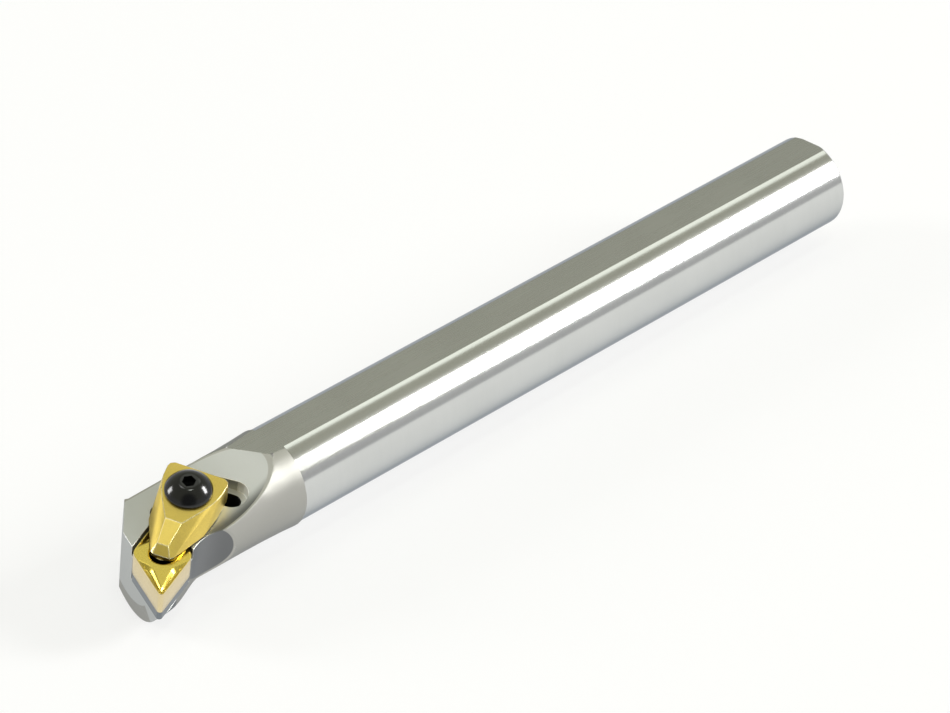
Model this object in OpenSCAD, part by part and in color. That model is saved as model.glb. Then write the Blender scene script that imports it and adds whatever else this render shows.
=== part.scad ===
/* [Bar] */
// Overall length, rear end face to cutting point
bar_length = 250; // [205:5:330]
// Shank diameter
shank_d = 25; // [20:0.5:31]
// Depth of each of the two clamping flats
flat_depth = 1; // [0.6:0.1:1.8]
// Chamfer round the rear end face
shank_chamfer = 0.7; // [0.3:0.1:1.5]
// Length of neck and head in front of the ground shank
neck_length = 51; // [46:1:62]
// How much thinner than the shank the neck is, on the diameter
neck_relief = 0.4; // [0.2:0.1:1]
// Height of the lip where the neck begins
neck_lip = 0.35; // [0.1:0.05:0.5]
// Centre drilling in the rear end face
centre_d = 5; // [3:0.5:8]

/* [Head] */
// How far the cutting point stands out past the side of the shank
tip_over = 4.5; // [4:0.1:5.5]
// How much wider than the shank the smallest bore is
bore_over = 7; // [6.5:0.1:8]
// Gap between the head and that smallest bore
bore_gap = 0.6; // [0.4:0.1:1]
// Length of the swell from neck to head
swell_length = 21.5; // [19:0.5:24]
// Tilt of the insert seat along the bar
axial_tilt = 4; // [2:0.5:6]
// Tilt of the insert seat across the bar
radial_tilt = 12.5; // [10:0.5:14]
// Height of the head's top face above the insert
face_over = 0.45; // [0.3:0.05:0.7]
// Direction of the run-out of that face, seen from above
face_turn = 7.8; // [4:0.2:12]
// Length of the flat part of that face behind the point
face_length = 25.1; // [23:0.1:28]
// Radius of the run-out
face_radius = 55.6; // [40:0.2:80]
// Radius of the scallop in the side of the head
scallop_r = 12.1; // [11:0.1:14]
// Width of the head in front, from the insert's middle line to the bevelled corner
corner_reach = 9.4; // [9:0.1:10.5]

/* [Insert] */
// Inscribed circle of the insert
insert_ic = 12.7; // [10.5:0.1:15.3]
// Thickness of the insert
insert_t = 6.35; // [5.2:0.05:7.7]
// Included angle of the insert's point
insert_angle = 55; // [52:1:58]
// Corner radius of the insert
nose_r = 0.8; // [0.4:0.1:1.2]
// Hole through the insert
insert_hole_d = 5.16; // [4.6:0.02:5.6]
// Direction of the insert, from its point to its far corner
insert_turn = 226; // [224:0.5:228]
// Width of the flat cutting land along the insert's edges
land_w = 0.5; // [0.3:0.05:0.7]
// Depth of the chip groove inside that land
groove_depth = 0.3; // [0.15:0.05:0.4]
// Thickness of the shim
shim_t = 3.18; // [2.6:0.02:4]
// How far the shim stays inside the insert's outline
shim_inset = 0.35; // [0.2:0.05:0.6]

/* [Clamp] */
// How much farther from the insert's hole the clamp screw lies than the insert's corner does
clamp_back = 4.28; // [3.2:0.02:6.2]
// Direction in which the clamp points
clamp_turn = 26.6; // [22:0.2:31]
// Lean of the clamp screw towards the insert
screw_lean = 6.3; // [4:0.1:8]
// Height of the clamp's top face at the screw
clamp_h = 6; // [5.4:0.1:7.4]
// Width of the clamp at its tail
clamp_w = 15.4; // [14:0.1:17]
// Width of the clamp's nose at its tip
clamp_nose_w = 4.2; // [3.6:0.1:4.6]
// Thread diameter of the clamp screw
screw_d = 6; // [5:0.1:6.6]
// Length of the clamp screw under its head
screw_length = 22; // [18:0.5:24]
// Diameter of the clamp screw's head
screw_head_d = 11.6; // [10.4:0.1:12.4]
// Height of the clamp screw's head
screw_head_h = 3.4; // [2.8:0.1:4]
// Hexagon socket in the clamp screw, across flats
socket_af = 3; // [2.5:0.1:4]
// Thread diameter of the shim screw
shim_screw_d = 5; // [4:0.1:5.4]
// Wire of the lifting spring
wire_d = 0.9; // [0.6:0.05:1]
// Coils of the lifting spring
coils = 3.5; // [2.5:0.5:4.5]
// Depth of the spring's pocket below the head's top face
spring_depth = 4.6; // [3.6:0.1:5.4]

/* [Hidden] */
$fn = 96;

eps = 0.01;
far = 60;
fit = 0.05;
dip = 0.01;

// bar
shank_r = shank_d / 2;
neck_r = shank_r - neck_relief / 2;
flat_z = shank_r - flat_depth;
step_x = bar_length - neck_length;
bottom_flat_x = step_x + 7;

// head
bore_r = shank_r + bore_over / 2;
head_y = shank_r + tip_over - bore_r;
head_r = bore_r - bore_gap;
swell_end = bar_length - 3.5;
swell_start = swell_end - swell_length;
swell_base = neck_r - 1.3;
swell_rise = head_r - swell_base;
swell_r = (pow(swell_length, 2) + pow(swell_rise, 2)) / (4 * swell_rise);
swell_arc = asin(swell_length / 2 / swell_r);

// insert, measured in its own frame from the rounded point towards the far corner
half = insert_angle / 2;
bisector = insert_turn - 180;
tip_x = bar_length - nose_r + nose_r * cos(bisector);
tip_y = shank_r + tip_over - nose_r + nose_r * sin(bisector);
hole_x = (insert_ic / 2 - nose_r) / sin(half) + nose_r;
far_corner_x = 2 * hole_x - nose_r;
obtuse_y = insert_ic / 2 / cos(half);
seat_z = -insert_t - shim_t;
hole_mouth_d = insert_hole_d + 1.9;

// pocket
wall_gap = 0.02;
wall_relief = 0.6;
wall_relief_z = -2.4;
corner_hole_d = 6.4;
edge_x = hole_x + 1.37;
front_angle = half - 0.85;
side_angle = half - 2;

// clamp
clamp_reach = hole_x + clamp_back;
screw_sx = hole_x * cos(insert_turn) - clamp_reach * cos(clamp_turn);
screw_sy = hole_x * sin(insert_turn) - clamp_reach * sin(clamp_turn);
clamp_z = face_over + 0.45;
clamp_seat_z = 0.03;
clamp_offset = 0.25;
top_skew = -2;
skin = 0.25;
clamp_bore_d = screw_d + 0.7;
slot_x = -6.5;
slot_w = 7.5;
slot_inner_w = 4.4;
slot_y0 = -3;
slot_y1 = 8.7;
slot_z = -1;
slot_inner_z = -4;
foot_x0 = -5.9;
foot_x1 = -3.4;
foot_w = 9;
plug_r = insert_hole_d / 2 - 0.35;
plug_depth = 1.8;

// clamp screw, spring and washer, measured along the screw
thread_d = screw_d - 2 * fit;
rim_h = 0.5;
crown_d = 4.8;
socket_depth = 2.6;
washer_t = 0.5;
washer_z = 1.1;
washer_d = 8.8;
washer_hole_d = screw_d + 0.7;
pocket_d = 9.6;
spring_mean_d = screw_d + 1 + wire_d;
spring_z0 = -spring_depth + 0.02;
spring_z1 = washer_z - 0.02;

// shim screw
shim_head_d = shim_screw_d + 3.2;
shim_bore_d = shim_screw_d + 0.5;
shim_screw_reach = 6;

steel = [0.66, 0.67, 0.66];
gold = [0.83, 0.74, 0.36];
carbide = [0.40, 0.42, 0.45];
oxide = [0.12, 0.13, 0.14];
wire_grey = [0.55, 0.56, 0.58];

// frames: seat plane, insert, clamp, clamp screw
module at_seat() {
    translate([tip_x, tip_y, 0]) rotate([-radial_tilt, axial_tilt, 0]) children();
}

module at_insert() {
    at_seat() rotate([0, 0, insert_turn]) children();
}

module at_clamp() {
    at_seat() translate([screw_sx, screw_sy, 0]) rotate([0, 0, clamp_turn]) children();
}

module at_screw() {
    at_clamp() rotate([0, screw_lean, 0]) children();
}

function arc(c, r, a0, a1, n) = [for (i = [0:n]) let(a = a0 + (a1 - a0) * i / n) c + r * [cos(a), sin(a)]];

// rhombic outline with rounded corners, grown or shrunk by g
module rhomb(g = 0) {
    e = (insert_ic / 2 + g - nose_r) / sin(half);
    f = (insert_ic / 2 + g - nose_r) / cos(half);
    t = 90 - half;
    translate([hole_x, 0]) polygon(concat(
        arc([e, 0], nose_r, -t, t, 10), arc([0, f], nose_r, t, 180 - t, 6),
        arc([-e, 0], nose_r, 180 - t, 180 + t, 10), arc([0, -f], nose_r, 180 + t, 360 - t, 6)));
}

// chip groove along one edge: a shallow trough that falls from the land and rises again
module groove(turn, side) {
    w = insert_ic * 0.17;
    translate([hole_x, 0, 0]) rotate([0, 0, turn])
    translate([-far / 2, side * (insert_ic / 2 - land_w), 0])
    rotate([90, 0, 90]) linear_extrude(far)
    polygon([[0, eps], [-side * w * 0.35, -groove_depth], [-side * w, eps]]);
}

// the raised middle of the insert, which the grooves leave standing
module plateau() {
    k = insert_ic / 12.7;
    translate([hole_x, 0, -1]) linear_extrude(2) {
        polygon([for (p = [[-10.3, 0.3], [-9, 0.75], [-7.6, 1.6], [-6, 2.9], [-3.6, 5.4], [-2, 8],
                           [2, 8], [3.6, 5.4], [6, 2.9], [7.6, 1.6], [9, 0.75], [10.3, 0.3],
                           [10.3, -0.3], [9, -0.75], [7.6, -1.6], [6, -2.9], [3.6, -5.4], [2, -8],
                           [-2, -8], [-3.6, -5.4], [-6, -2.9], [-7.6, -1.6], [-9, -0.75], [-10.3, -0.3]]) p * k]);
    }
}

module grooves() {
    difference() {
        for (turn = [half, -half], side = [1, -1]) groove(turn, side);
        plateau();
    }
}

module insert() {
    color(gold) at_insert() difference() {
        translate([0, 0, -insert_t]) linear_extrude(insert_t) rhomb();
        translate([hole_x, 0, -insert_t - 1]) cylinder(d = insert_hole_d, h = insert_t + 2);
        translate([hole_x, 0, -0.9]) cylinder(d1 = insert_hole_d, d2 = hole_mouth_d + 0.02, h = 0.91);
        translate([hole_x, 0, -insert_t - eps]) cylinder(d1 = hole_mouth_d + 0.02, d2 = insert_hole_d, h = 0.91);
        grooves();
    }
}

module shim() {
    color(carbide) at_insert() difference() {
        translate([0, 0, seat_z]) linear_extrude(shim_t) rhomb(-shim_inset);
        translate([hole_x, 0, seat_z - 1]) cylinder(d = shim_bore_d, h = shim_t + 2);
        translate([hole_x, 0, -insert_t - (shim_head_d - shim_bore_d) / 2])
            cylinder(d1 = shim_bore_d, d2 = shim_head_d + 2 * eps, h = (shim_head_d - shim_bore_d) / 2 + eps);
    }
}

module shim_screw() {
    head = (shim_head_d - shim_bore_d) / 2;
    color(oxide) at_insert() translate([hole_x, 0, -insert_t]) difference() {
        union() {
            translate([0, 0, -head - 0.1]) cylinder(d1 = shim_bore_d - 0.24, d2 = shim_head_d - 0.24, h = head);
            translate([0, 0, -shim_t - shim_screw_reach]) cylinder(d = shim_screw_d - 2 * fit, h = shim_t + shim_screw_reach - 0.5);
        }
        translate([0, 0, -1.9]) cylinder(d = 2.5 / cos(30), h = 3, $fn = 6);
    }
}

// clamp outlines: distance ahead of the screw, half width
k_w = clamp_w / 15.4;
k_x = clamp_reach / 17.1;
nose_half = clamp_nose_w / 2;
top_line = [[-6.5, 6.4 * k_w], [-5.9, 7.4 * k_w], [-4.9, 7.7 * k_w], [-2, 7.55 * k_w], [1 * k_x, 6.8 * k_w],
            [4.6 * k_x, 5.1 * k_w], [7.8 * k_x, 3.2 * k_w], [9.75 * k_x, 2.1]];
foot_line = [[-5.9, 7.1 * k_w], [-5.2, 7.7 * k_w], [-4, 7.9 * k_w], [2.2 * k_x, 7.8 * k_w], [8.8 * k_x, 6.9 * k_w],
             [12.5 * k_x, 5.2 * k_w], [clamp_reach - 0.9, 3.8 * k_w], [clamp_reach + 1.2, nose_half + 0.7],
             [clamp_reach + 1.8, nose_half]];
brow_x = clamp_reach - 0.5;
brow_z = clamp_z + 1.7;

function outline(line) = concat(line, [for (i = [len(line) - 1:-1:0]) [line[i][0], -line[i][1]]]);

module clamp_block() {
    at_clamp() hull() {
        translate([0, clamp_offset, clamp_z]) linear_extrude(skin) polygon(outline(foot_line));
        translate([brow_x - 1, -1.7, brow_z - skin]) cube([1, 2.8, skin]);
        rotate([0, screw_lean, 0]) rotate([0, 0, top_skew]) translate([0, clamp_offset, clamp_h - skin])
            linear_extrude(skin) polygon(outline(top_line));
    }
}

// the nose rests on the insert and dips into its hole
module clamp_nose() {
    at_clamp() {
        translate([-2 * eps, clamp_offset, clamp_seat_z]) linear_extrude(clamp_z - clamp_seat_z + skin / 2)
            polygon(outline([[clamp_reach - 3.5, 4.2 * k_w], [clamp_reach - 0.9, 3.76 * k_w],
                             [clamp_reach + 1.2, nose_half + 0.66], [clamp_reach + 1.8, nose_half - 0.04]]));
        translate([clamp_reach, 0, -plug_depth]) cylinder(r = plug_r, h = plug_depth + 0.2);
    }
}

module clamp_foot() {
    at_clamp() translate([foot_x0, -foot_w / 2 + clamp_offset, slot_z + 0.3])
        cube([foot_x1 - foot_x0, foot_w, clamp_z - slot_z]);
}

module clamp() {
    color(gold) difference() {
        union() {
            clamp_block();
            clamp_nose();
            clamp_foot();
        }
        at_screw() translate([0, 0, -5]) cylinder(d = clamp_bore_d, h = far);
        at_screw() translate([0, 0, -2]) cylinder(d = pocket_d, h = 2 + washer_z + washer_t);
    }
}

module clamp_screw() {
    crown_r = (pow(screw_head_d / 2, 2) - pow(crown_d / 2, 2) + pow(screw_head_h - rim_h, 2)) / (2 * (screw_head_h - rim_h));
    ball_r = sqrt(pow(crown_r, 2) + pow(crown_d / 2, 2));
    color(oxide) at_screw() translate([0, 0, clamp_h + 0.02]) difference() {
        union() {
            cylinder(d = screw_head_d, h = rim_h);
            translate([0, 0, rim_h]) intersection() {
                translate([0, 0, screw_head_h - rim_h - crown_r]) sphere(ball_r);
                cylinder(d = screw_head_d, h = screw_head_h - rim_h);
            }
            translate([0, 0, -screw_length]) cylinder(d1 = thread_d - 1.4, d2 = thread_d, h = 0.7);
            translate([0, 0, -screw_length + 0.7]) cylinder(d = thread_d, h = screw_length - 0.7 + eps);
        }
        translate([0, 0, screw_head_h - socket_depth]) cylinder(d = socket_af / cos(30), h = far, $fn = 6);
    }
}

module spring_washer() {
    color(wire_grey) at_screw() translate([0, 0, washer_z]) difference() {
        cylinder(d = washer_d, h = washer_t - 0.02);
        translate([0, 0, -1]) cylinder(d = washer_hole_d, h = 3);
    }
}

// helix of round wire as one closed skin
module clamp_spring() {
    n = 24;
    m = 10;
    turns = coils + 1;
    steps = floor(turns * n);
    rise = spring_z1 - spring_z0 - wire_d;
    function lift(i) = let(t = i / n, a = min(max(t - 0.4, 0), turns - 0.8) / (turns - 0.8)) wire_d / 2 + rise * a;
    pts = [for (i = [0:steps], j = [0:m - 1]) let(a = 360 * i / n, b = 360 * j / m,
        r = spring_mean_d / 2 + wire_d / 2 * cos(b)) [r * cos(a), r * sin(a), lift(i) + wire_d / 2 * sin(b)]];
    sides = [for (i = [0:steps - 1], j = [0:m - 1]) let(k = (j + 1) % m)
        [i * m + j, i * m + k, (i + 1) * m + k, (i + 1) * m + j]];
    ends = [[for (j = [m - 1:-1:0]) j], [for (j = [0:m - 1]) steps * m + j]];
    color(wire_grey) at_screw() translate([0, 0, spring_z0]) polyhedron(pts, concat(sides, ends), convexity = 10);
}

// turned blank: shank, neck with its lip, centre drilling
module blank() {
    rotate([0, 90, 0]) difference() {
        rotate_extrude() polygon([
            [0, 0], [shank_r - shank_chamfer, 0], [shank_r, shank_chamfer], [shank_r, step_x],
            [shank_r + neck_lip, step_x], [shank_r + neck_lip * 0.25, step_x + 4.4],
            [neck_r + neck_relief * 0.2, step_x + 10], [neck_r, step_x + 17],
            [neck_r, swell_end], [0, swell_end]]);
        translate([0, 0, -eps]) cylinder(d1 = centre_d, d2 = centre_d * 0.4, h = centre_d * 0.52);
        translate([0, 0, -eps]) cylinder(d = centre_d * 0.4, h = centre_d * 0.9);
    }
}

// swell from neck to head, turned on the axis of the bore it works in
module swell() {
    n = 6;
    low = [for (i = [0:n]) let(t = swell_arc * i / n) [swell_base + swell_r * (1 - cos(t)), swell_start + swell_r * sin(t)]];
    high = [for (i = [1:n]) let(t = swell_arc * (1 - i / n)) [head_r - swell_r * (1 - cos(t)), swell_end - swell_r * sin(t)]];
    translate([0, head_y, 0]) rotate([0, 90, 0]) rotate_extrude()
        polygon(concat([[0, swell_start - 1], [swell_base, swell_start - 1]], low, high,
                       [[head_r, bar_length + 5], [0, bar_length + 5]]));
}

// top face of the head: flat behind the point, then a round run-out up to the flat of the shank
module head_face_cut() {
    at_seat() rotate([0, 0, face_turn]) {
        translate([-face_length, -far, face_over]) cube([2 * far, 2 * far, far]);
        translate([-face_length, 0, face_over + face_radius - dip]) rotate([90, 0, 0])
            cylinder(r = face_radius, h = 2 * far, center = true, $fn = 240);
    }
}

module flat_cuts() {
    translate([-1, -far, flat_z]) cube([2 * bar_length, 2 * far, far]);
    translate([-1, -far, -flat_z - far]) cube([bottom_flat_x + 1, 2 * far, far]);
    translate([bottom_flat_x, 0, -flat_z - face_radius + dip]) rotate([90, 0, 0])
        cylinder(r = face_radius, h = 2 * far, center = true, $fn = 240);
}

// flanks below the insert, bevelled front corner, scallop
module flank_cuts() {
    at_insert() {
        translate([edge_x, obtuse_y, -far]) rotate([0, 0, front_angle]) translate([-far, 0, 0]) cube([2 * far, far, 2 * far]);
        translate([edge_x, -obtuse_y, -far]) rotate([0, 0, -side_angle]) {
            translate([-far, -far, 0]) cube([far + 1.1, far, 2 * far]);
            translate([1.1, -scallop_r + 2 * dip, 0]) cylinder(r = scallop_r, h = 2 * far);
        }
        translate([-far, corner_reach, -far]) cube([2 * far, far, 2 * far]);
    }
}

module wall_outline(gap) {
    reach = 11;
    apex = 2 * hole_x - nose_r + nose_r / sin(half) + gap / sin(half);
    polygon([[apex, 0], [apex - reach / tan(half), reach], [-6, reach], [-6, -reach], [apex - reach / tan(half), -reach]]);
}

module pocket_cuts() {
    at_insert() {
        translate([0, 0, seat_z]) linear_extrude(far) wall_outline(wall_gap);
        translate([0, 0, wall_relief_z]) linear_extrude(far) wall_outline(wall_relief);
        translate([far_corner_x + 0.7, 0, seat_z - 0.4]) cylinder(d = corner_hole_d, h = far);
        translate([hole_x, 0, seat_z - shim_screw_reach - 0.8]) cylinder(d = shim_screw_d, h = far);
    }
}

module slot_outline(w) {
    polygon(concat(arc([slot_x, slot_y1], w / 2, 0, 180, 16), arc([slot_x, slot_y0], w / 2, 180, 360, 16)));
}

module clamp_cuts() {
    at_clamp() {
        translate([0, 0, slot_z]) linear_extrude(far) slot_outline(slot_w);
        translate([0, 0, slot_inner_z]) linear_extrude(far) slot_outline(slot_inner_w);
    }
    at_screw() {
        translate([0, 0, -far]) cylinder(d = screw_d, h = 2 * far);
        translate([0, 0, -spring_depth]) cylinder(d = pocket_d, h = far);
    }
}

module bar_body() {
    color(steel) difference() {
        union() {
            blank();
            swell();
        }
        flat_cuts();
        head_face_cut();
        flank_cuts();
        pocket_cuts();
        clamp_cuts();
    }
}

bar_body();
insert();
shim();
shim_screw();
clamp();
clamp_screw();
clamp_spring();
spring_washer();
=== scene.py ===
import math

import bpy
import bmesh
from mathutils import Matrix, Vector
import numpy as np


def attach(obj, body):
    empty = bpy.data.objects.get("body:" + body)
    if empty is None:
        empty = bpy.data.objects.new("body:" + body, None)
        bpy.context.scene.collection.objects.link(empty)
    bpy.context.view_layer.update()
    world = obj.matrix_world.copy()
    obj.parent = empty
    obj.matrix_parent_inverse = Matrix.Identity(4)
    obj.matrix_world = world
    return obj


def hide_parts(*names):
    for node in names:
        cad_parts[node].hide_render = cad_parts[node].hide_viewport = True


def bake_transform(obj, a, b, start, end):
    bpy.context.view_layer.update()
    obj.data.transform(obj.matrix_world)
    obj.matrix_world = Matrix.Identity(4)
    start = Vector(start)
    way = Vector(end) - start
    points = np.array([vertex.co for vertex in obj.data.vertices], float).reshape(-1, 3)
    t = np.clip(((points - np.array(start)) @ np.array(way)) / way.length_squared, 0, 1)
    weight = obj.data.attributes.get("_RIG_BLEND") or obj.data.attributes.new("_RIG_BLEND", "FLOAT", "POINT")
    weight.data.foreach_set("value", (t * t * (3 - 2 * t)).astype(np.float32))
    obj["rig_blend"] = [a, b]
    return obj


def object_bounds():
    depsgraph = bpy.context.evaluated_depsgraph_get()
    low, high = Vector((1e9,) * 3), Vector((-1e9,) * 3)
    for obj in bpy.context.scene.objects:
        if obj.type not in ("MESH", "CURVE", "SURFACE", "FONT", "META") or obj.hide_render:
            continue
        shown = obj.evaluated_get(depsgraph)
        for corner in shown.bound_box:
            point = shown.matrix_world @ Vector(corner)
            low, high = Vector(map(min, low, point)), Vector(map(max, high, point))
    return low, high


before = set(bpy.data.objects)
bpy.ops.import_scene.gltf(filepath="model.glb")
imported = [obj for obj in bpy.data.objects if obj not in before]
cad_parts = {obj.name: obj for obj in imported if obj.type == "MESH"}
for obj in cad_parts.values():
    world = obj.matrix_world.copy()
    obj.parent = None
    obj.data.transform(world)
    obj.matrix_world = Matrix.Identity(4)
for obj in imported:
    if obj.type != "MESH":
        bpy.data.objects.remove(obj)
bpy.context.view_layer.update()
scene = bpy.context.scene
scene.view_settings.view_transform = "Standard"

MM = 0.001


# ---------------------------------------------------------------- camera

PHOTO_W = 950            # pixels
FOCAL_PX = 4499.8
EYE = Vector((0.80808, 0.66288, 0.60548))
LOOK_BACK = Vector((0.6055, 0.5876, 0.5367))
CENTRE_OFF = (9.22, 3.39)    # pixels between the picture's middle and the lens's axis
SENSOR = 36

lens = bpy.data.cameras.new("photo_camera")
lens.sensor_width = SENSOR
lens.lens = FOCAL_PX / PHOTO_W * SENSOR
lens.shift_x = -CENTRE_OFF[0] / PHOTO_W
lens.shift_y = CENTRE_OFF[1] / PHOTO_W
lens.clip_start = 0.05
lens.clip_end = 50
camera = bpy.data.objects.new("photo_camera", lens)
scene.collection.objects.link(camera)
camera.location = EYE
camera.rotation_euler = LOOK_BACK.to_track_quat("Z", "Y").to_euler()
scene.camera = camera


# ---------------------------------------------------------------- places on the bar, in mm and degrees

def turn(axis, degrees):
    return Matrix.Rotation(math.radians(degrees), 4, axis)


def shift(x, y, z):
    return Matrix.Translation(Vector((x, y, z)) * MM)


BAR_LENGTH, POINT_Y = 250.0, 17.0    # the cutting point stands this far along and off the axis
NECK_X = 199.0                       # the ground shank ends in a step here
NECK_R = 11.9
FLAT_Z = 11.5
TILT_Y, TILT_X = 4, -12.5            # how the insert's seat leans

IC = 12.7                # inscribed circle of the insert
HALF_ANGLE = 27.5
HALF = math.radians(HALF_ANGLE)
NOSE_R = 0.8
BLUNT_R = 3.0            # look only: the two blunt corners are rounder than in the CAD model
HOLE_X = (IC / 2 - NOSE_R) / math.sin(HALF) + NOSE_R     # from the cutting point's corner to the hole
HOLE_R = 2.58
INSERT_T = 6.35
SHIM_T = 3.18
POINT_TURN = 226         # from the bar's axis to the line through cutting point and hole
REACH = HOLE_X + 4.28    # from the clamp screw to the insert's hole
CLAMP_TURN = 26.6
SCREW_LEAN = 6.3


def polar(r, degrees):
    return r * math.cos(math.radians(degrees)), r * math.sin(math.radians(degrees))


NOSE = polar(NOSE_R, POINT_TURN - 180)
HOLE = polar(HOLE_X, POINT_TURN)
SPAN = polar(REACH, CLAMP_TURN)

SEAT = shift(BAR_LENGTH - NOSE_R + NOSE[0], POINT_Y - NOSE_R + NOSE[1], 0)
SEAT = SEAT @ turn("Y", TILT_Y) @ turn("X", TILT_X)
INSERT = SEAT @ turn("Z", POINT_TURN) @ shift(HOLE_X, 0, 0)     # origin on the hole, -X to the cutting point
CLAMP = SEAT @ shift(HOLE[0] - SPAN[0], HOLE[1] - SPAN[1], 0) @ turn("Z", CLAMP_TURN)
SCREW = CLAMP @ turn("Y", SCREW_LEAN)

into_clamp = CLAMP.inverted()
into_insert = INSERT.inverted()


# ---------------------------------------------------------------- bench work: selecting and shaping

def calm():
    """Object mode with nothing selected."""
    if bpy.context.object and bpy.context.object.mode != "OBJECT":
        bpy.ops.object.mode_set(mode="OBJECT")
    bpy.ops.object.select_all(action="DESELECT")


def take(piece):
    calm()
    piece.select_set(True)
    bpy.context.view_layer.objects.active = piece
    return piece


def open_all(piece):
    take(piece)
    bpy.ops.object.mode_set(mode="EDIT")
    bpy.ops.mesh.select_all(action="SELECT")


def close(piece):
    bpy.ops.object.mode_set(mode="OBJECT")
    return piece


def merge(piece, gap=0.0005):
    """Joins vertices nearer than the gap, in mm, and turns the faces outward."""
    open_all(piece)
    bpy.ops.mesh.remove_doubles(threshold=gap * MM)
    bpy.ops.mesh.normals_make_consistent(inside=False)
    return close(piece)


def apply(piece, kind, **settings):
    take(piece)
    mod = piece.modifiers.new(kind.lower(), kind)
    for key, value in settings.items():
        setattr(mod, key, value)
    bpy.ops.object.modifier_apply(modifier=mod.name)
    return piece


def soften(piece, width, angle):
    """Rounds the edges that turn more than the angle, by a width in mm."""
    return apply(piece, "BEVEL", width=width * MM, segments=2, limit_method="ANGLE",
                 angle_limit=math.radians(angle), use_clamp_overlap=False, miter_outer="MITER_ARC")


def crease(piece, hard=38, slight=8):
    """Weights the clamp's edges for its bevel: hard turns, and slight ones round its top and front facets."""
    up = SCREW.to_3x3() @ Vector((0, 0, 1))
    ahead = CLAMP.to_3x3() @ Vector((1, 0, 0))
    open_all(piece)
    bm = bmesh.from_edit_mesh(piece.data)
    layers = bm.edges.layers.float
    weight = layers.get("bevel_weight_edge") or layers.new("bevel_weight_edge")
    for edge in bm.edges:
        if len(edge.link_faces) != 2:
            continue
        a, b = (f.normal for f in edge.link_faces)
        bend = math.degrees(a.angle(b, 0))
        top = max(a.dot(up), b.dot(up)) > 0.995
        front = max(a.dot(up) + a.dot(ahead), b.dot(up) + b.dot(ahead)) > 1.29
        edge[weight] = 1.0 if bend > hard or (bend > slight and (top or front)) else 0.0
    bmesh.update_edit_mesh(piece.data)
    return close(piece)


def even_shading(piece):
    take(piece)
    bpy.ops.object.shade_smooth()
    return apply(piece, "WEIGHTED_NORMAL", mode="FACE_AREA", weight=60, keep_sharp=True)


def by_angle(piece, degrees):
    take(piece)
    bpy.ops.object.shade_smooth_by_angle(angle=math.radians(degrees))
    return piece


def place(piece, where):
    piece.data.transform(where)
    piece.data.update()
    return piece


def copy_of(node, name):
    """A merged copy of a CAD node, its coplanar triangles joined into whole faces."""
    level = math.radians(0.4)
    calm()
    piece = bpy.data.objects.new(name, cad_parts[node].data.copy())
    scene.collection.objects.link(piece)
    take(piece)
    bpy.ops.mesh.customdata_custom_splitnormals_clear()
    merge(piece, 0.002)
    open_all(piece)
    bpy.ops.mesh.dissolve_limited(angle_limit=level)
    return close(piece)


def wrapped(name, rings):
    """A grid of quads laid on rings of points in mm; rings that fall together are merged into poles and seams."""
    calm()
    around = len(rings[0])
    bpy.ops.mesh.primitive_grid_add(x_subdivisions=around, y_subdivisions=len(rings) - 1, size=MM)
    piece = bpy.context.object
    piece.name = name
    spots = [Vector(ring[i % around]) * MM for ring in rings for i in range(around + 1)]
    for vert, spot in zip(piece.data.vertices, spots):
        vert.co = spot
    return merge(piece)


def turned_rings(profile, steps):
    """Rings of a turned body, from its profile of (radius, height)."""
    angles = [2 * math.pi * i / steps for i in range(steps)]
    return [[(r * math.cos(a), r * math.sin(a), z) for a in angles] for r, z in profile]


def corner(cx, cz, r, a0, a1):
    """Points of a rounded corner in a turned profile, from one angle to the other."""
    arc = [polar(r, a0 + (a1 - a0) * i / 4) for i in range(5)]
    return [(cx + x, cz + z) for x, z in arc]


def threaded(r, depth, pitch, z0, z1, steps):
    """Rings of a screw thread, from z0 to z1, that runs out at both ends."""
    rows_per_turn, run_out = 6, 0.7 * pitch
    rings = []
    rows = int(round(abs(z1 - z0) / pitch * rows_per_turn))
    for k in range(rows + 1):
        z = z0 + (z1 - z0) * k / rows
        fade = min(1, min(abs(z - z0), abs(z - z1)) / run_out)
        ring = []
        for i in range(steps):
            a = 2 * math.pi * i / steps
            part = (z / pitch - i / steps) % 1
            valley = min(1, max(0, abs(part - 0.5) * 2.5 - 0.125))
            rr = r - depth * valley * fade
            ring.append((rr * math.cos(a), rr * math.sin(a), z))
        rings.append(ring)
    return rings


def drop_fins(piece, chosen=lambda face: True):
    """Cuts the chosen faces into triangles and takes out slivers that lie back to back or hang loose."""
    open_all(piece)
    bm = bmesh.from_edit_mesh(piece.data)
    bmesh.ops.triangulate(bm, faces=[face for face in bm.faces if chosen(face)])
    bmesh.ops.remove_doubles(bm, verts=bm.verts, dist=0.002 * MM)
    bm.verts.index_update()
    pairs = {}
    for face in bm.faces:
        pairs.setdefault(frozenset(v.index for v in face.verts), []).append(face)
    fins = [face for same in pairs.values() if len(same) > 1 for face in same]
    bmesh.ops.delete(bm, geom=fins, context="FACES")
    loose = [face for face in bm.faces if any(len(e.link_faces) == 1 for e in face.edges)
             and any(len(e.link_faces) > 2 for e in face.edges)]
    bmesh.ops.delete(bm, geom=loose, context="FACES")
    bmesh.update_edit_mesh(piece.data)
    return close(piece)


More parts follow.
